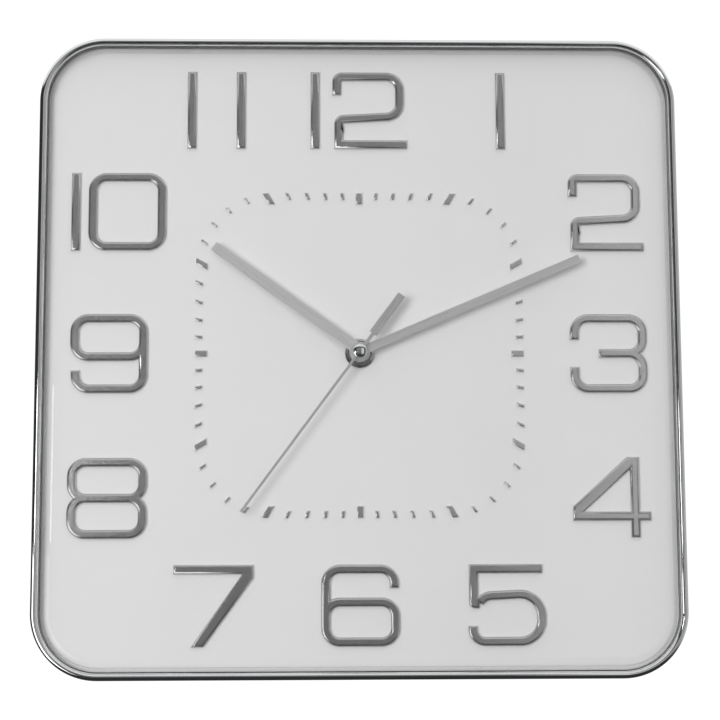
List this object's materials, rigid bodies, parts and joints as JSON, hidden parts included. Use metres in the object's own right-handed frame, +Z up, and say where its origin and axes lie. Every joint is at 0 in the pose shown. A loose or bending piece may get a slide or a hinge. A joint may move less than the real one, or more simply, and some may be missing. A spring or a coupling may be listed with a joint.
{
  "type": "wall clock",
  "caption": "Square battery wall clock with rounded corners, chrome bezel, domed clear lens, raised silver numerals and three straight hands.",
  "frame": {"origin": "on the wall plane, at the foot of the hand axis: the middle of the movement case's back face", "axes": "-Y from the wall towards the viewer, so the dial faces -Y and +Y points into the wall; +Z up towards the 12; +X to the viewer's right, towards the 3"},
  "size_m": [0.3, 0.0328, 0.3],
  "materials": {
    "chrome_plate": "bright chrome plating over moulded plastic",
    "clear_plastic": "clear polished moulding",
    "dial_paint": "satin silver-white paint",
    "housing_plastic": "fine moulded texture",
    "satin_silver": "satin metallic plating over moulded plastic",
    "brushed_hand": "brushed along the hand",
    "nut_metal": "dark nickel",
    "steel": "rolled sheet",
    "rubber": "matt",
    "brass": "turned",
    "movement_plastic": "moulded",
    "knob_plastic": "moulded",
    "acetal": "natural moulded acetal",
    "magnet": "sintered",
    "copper_wire": "enamelled wire",
    "board": "solder mask",
    "cell": "plain wrapped can"
  },
  "bodies": {
    "clock_case": {"bezel": "chrome_plate", "lens": "clear_plastic", "dial_plate": "dial_paint", "rear_housing": "housing_plastic", "numeral_1": "satin_silver", "numeral_2": "satin_silver", "numeral_3": "satin_silver", "numeral_4": "satin_silver", "numeral_5": "satin_silver", "numeral_6": "satin_silver", "numeral_7": "satin_silver", "numeral_8": "satin_silver", "numeral_9": "satin_silver", "numeral_10": "satin_silver", "numeral_11": "satin_silver", "numeral_12": "satin_silver", "five_minute_marks": "satin_silver", "minute_marks": "satin_silver", "fixing_nut": "nut_metal", "dial_washer": "steel", "rubber_gasket": "rubber", "threaded_bushing": "brass", "movement_case": "movement_plastic", "movement_cover": "movement_plastic", "train_bridge": "acetal", "stator": "steel", "coil_core": "steel", "coil_bobbin": "acetal", "coil_winding": "copper_wire", "circuit_board": "board", "control_chip": "movement_plastic", "quartz_crystal": "steel", "battery_contact_positive": "steel", "battery_contact_negative": "steel"},
    "minute_train": {"minute_hand": "brushed_hand", "cannon_pinion": "brass", "friction_washer": "steel"},
    "hour_train": {"hour_hand": "brushed_hand", "hour_wheel": "acetal"},
    "minute_wheel_body": {"minute_wheel": "acetal"},
    "knob": {"setting_knob": "knob_plastic"},
    "second_train": {"second_hand": "brushed_hand", "second_hand_cap": "chrome_plate", "seconds_wheel": "acetal"},
    "third_wheel_body": {"third_wheel": "acetal"},
    "centre_wheel_body": {"centre_wheel": "brass"},
    "fifth_wheel_body": {"fifth_wheel": "acetal"},
    "rotor_body": {"rotor": "acetal", "rotor_magnet": "magnet"},
    "battery_body": {"battery": "cell"}
  },
  "joints": [
    {"name": "minute_hand_spin", "type": "hinge", "parent": "clock_case", "child": "minute_train", "pos_m": [0, 0, 0], "axis": [0, 1, 0], "continuous": true},
    {"name": "hour_hand_spin", "type": "hinge", "parent": "clock_case", "child": "hour_train", "pos_m": [0, 0, 0], "axis": [0, 1, 0], "continuous": true},
    {"name": "minute_wheel_spin", "type": "hinge", "parent": "clock_case", "child": "minute_wheel_body", "pos_m": [-0.009, 0, 0], "axis": [0, 1, 0], "continuous": true},
    {"name": "knob_spin", "type": "hinge", "parent": "clock_case", "child": "knob", "pos_m": [-0.01845, 0, 0], "axis": [0, 1, 0], "continuous": true},
    {"name": "second_hand_spin", "type": "hinge", "parent": "clock_case", "child": "second_train", "pos_m": [0, 0, 0], "axis": [0, 1, 0], "continuous": true},
    {"name": "third_wheel_spin", "type": "hinge", "parent": "clock_case", "child": "third_wheel_body", "pos_m": [-0.00649, 0, 0.00649], "axis": [0, 1, 0], "continuous": true},
    {"name": "centre_wheel_spin", "type": "hinge", "parent": "clock_case", "child": "centre_wheel_body", "pos_m": [0, 0, 0], "axis": [0, 1, 0], "continuous": true},
    {"name": "fifth_wheel_spin", "type": "hinge", "parent": "clock_case", "child": "fifth_wheel_body", "pos_m": [0.00924, 0, 0], "axis": [0, 1, 0], "continuous": true},
    {"name": "rotor_spin", "type": "hinge", "parent": "clock_case", "child": "rotor_body", "pos_m": [0.01284, 0, 0.00624], "axis": [0, 1, 0], "continuous": true},
    {"name": "battery_slide", "type": "slide", "parent": "clock_case", "child": "battery_body", "axis": [0, 1, 0], "range_m": [0, 0.03]}
  ],
  "couplings": [
    {"joint": "hour_hand_spin", "follows": "minute_hand_spin", "ratio": 0.083333},
    {"joint": "minute_wheel_spin", "follows": "minute_hand_spin", "ratio": -0.33333},
    {"joint": "knob_spin", "follows": "minute_hand_spin", "ratio": 0.83333},
    {"joint": "third_wheel_spin", "follows": "second_hand_spin", "ratio": -0.13333},
    {"joint": "centre_wheel_spin", "follows": "second_hand_spin", "ratio": 0.016667},
    {"joint": "fifth_wheel_spin", "follows": "second_hand_spin", "ratio": -6},
    {"joint": "rotor_spin", "follows": "second_hand_spin", "ratio": 30}
  ]
}
